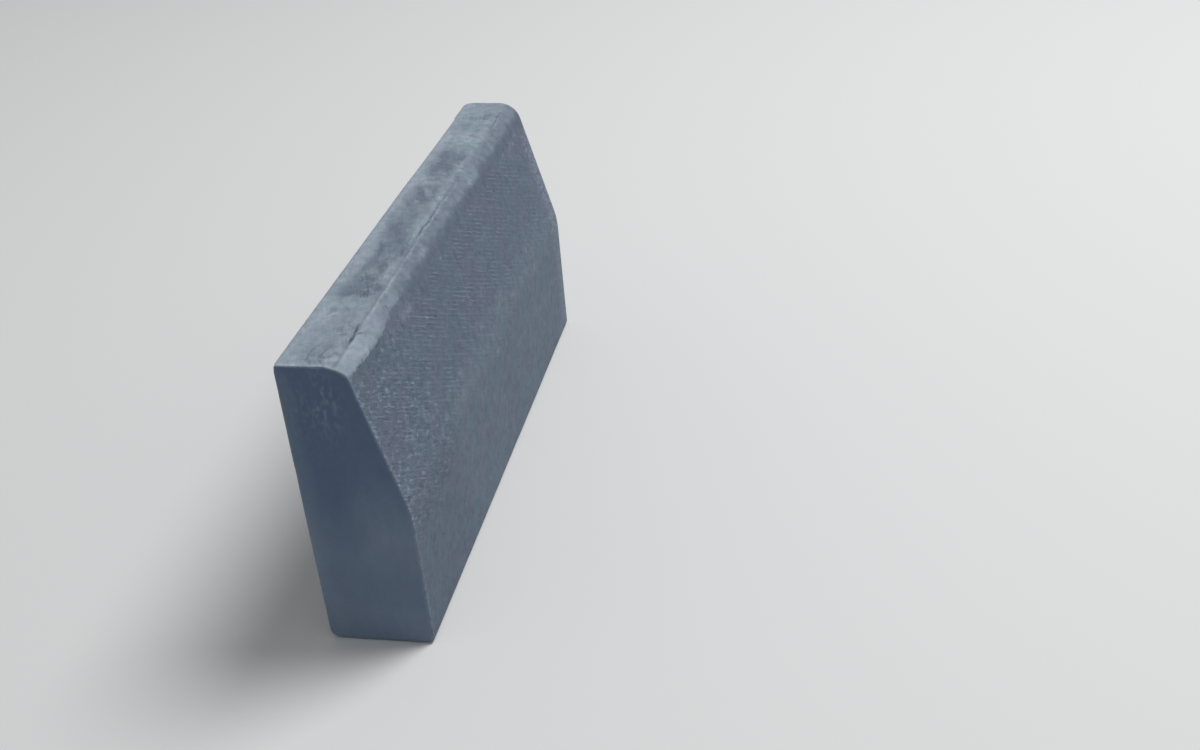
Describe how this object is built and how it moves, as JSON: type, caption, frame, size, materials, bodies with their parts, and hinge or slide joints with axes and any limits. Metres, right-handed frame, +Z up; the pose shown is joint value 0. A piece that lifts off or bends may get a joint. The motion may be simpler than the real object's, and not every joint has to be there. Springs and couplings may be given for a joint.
{
  "type": "concrete kerb stone",
  "caption": "Precast concrete kerb stone with a flat top, rounded front arris, battered upper face and upright foot, made to stand on its long bed face.",
  "frame": {"origin": "centre of the bed face, on the ground", "axes": "+Z up, +X from the upright back face to the battered road face, +Y along the kerb line"},
  "size_m": [0.1, 0.6, 0.3],
  "materials": {
    "concrete": "matt cast concrete, cloth-marked on the battered face, smooth on the ends"
  },
  "bodies": {
    "root": {"kerb_stone": "concrete"}
  },
  "joints": []
}
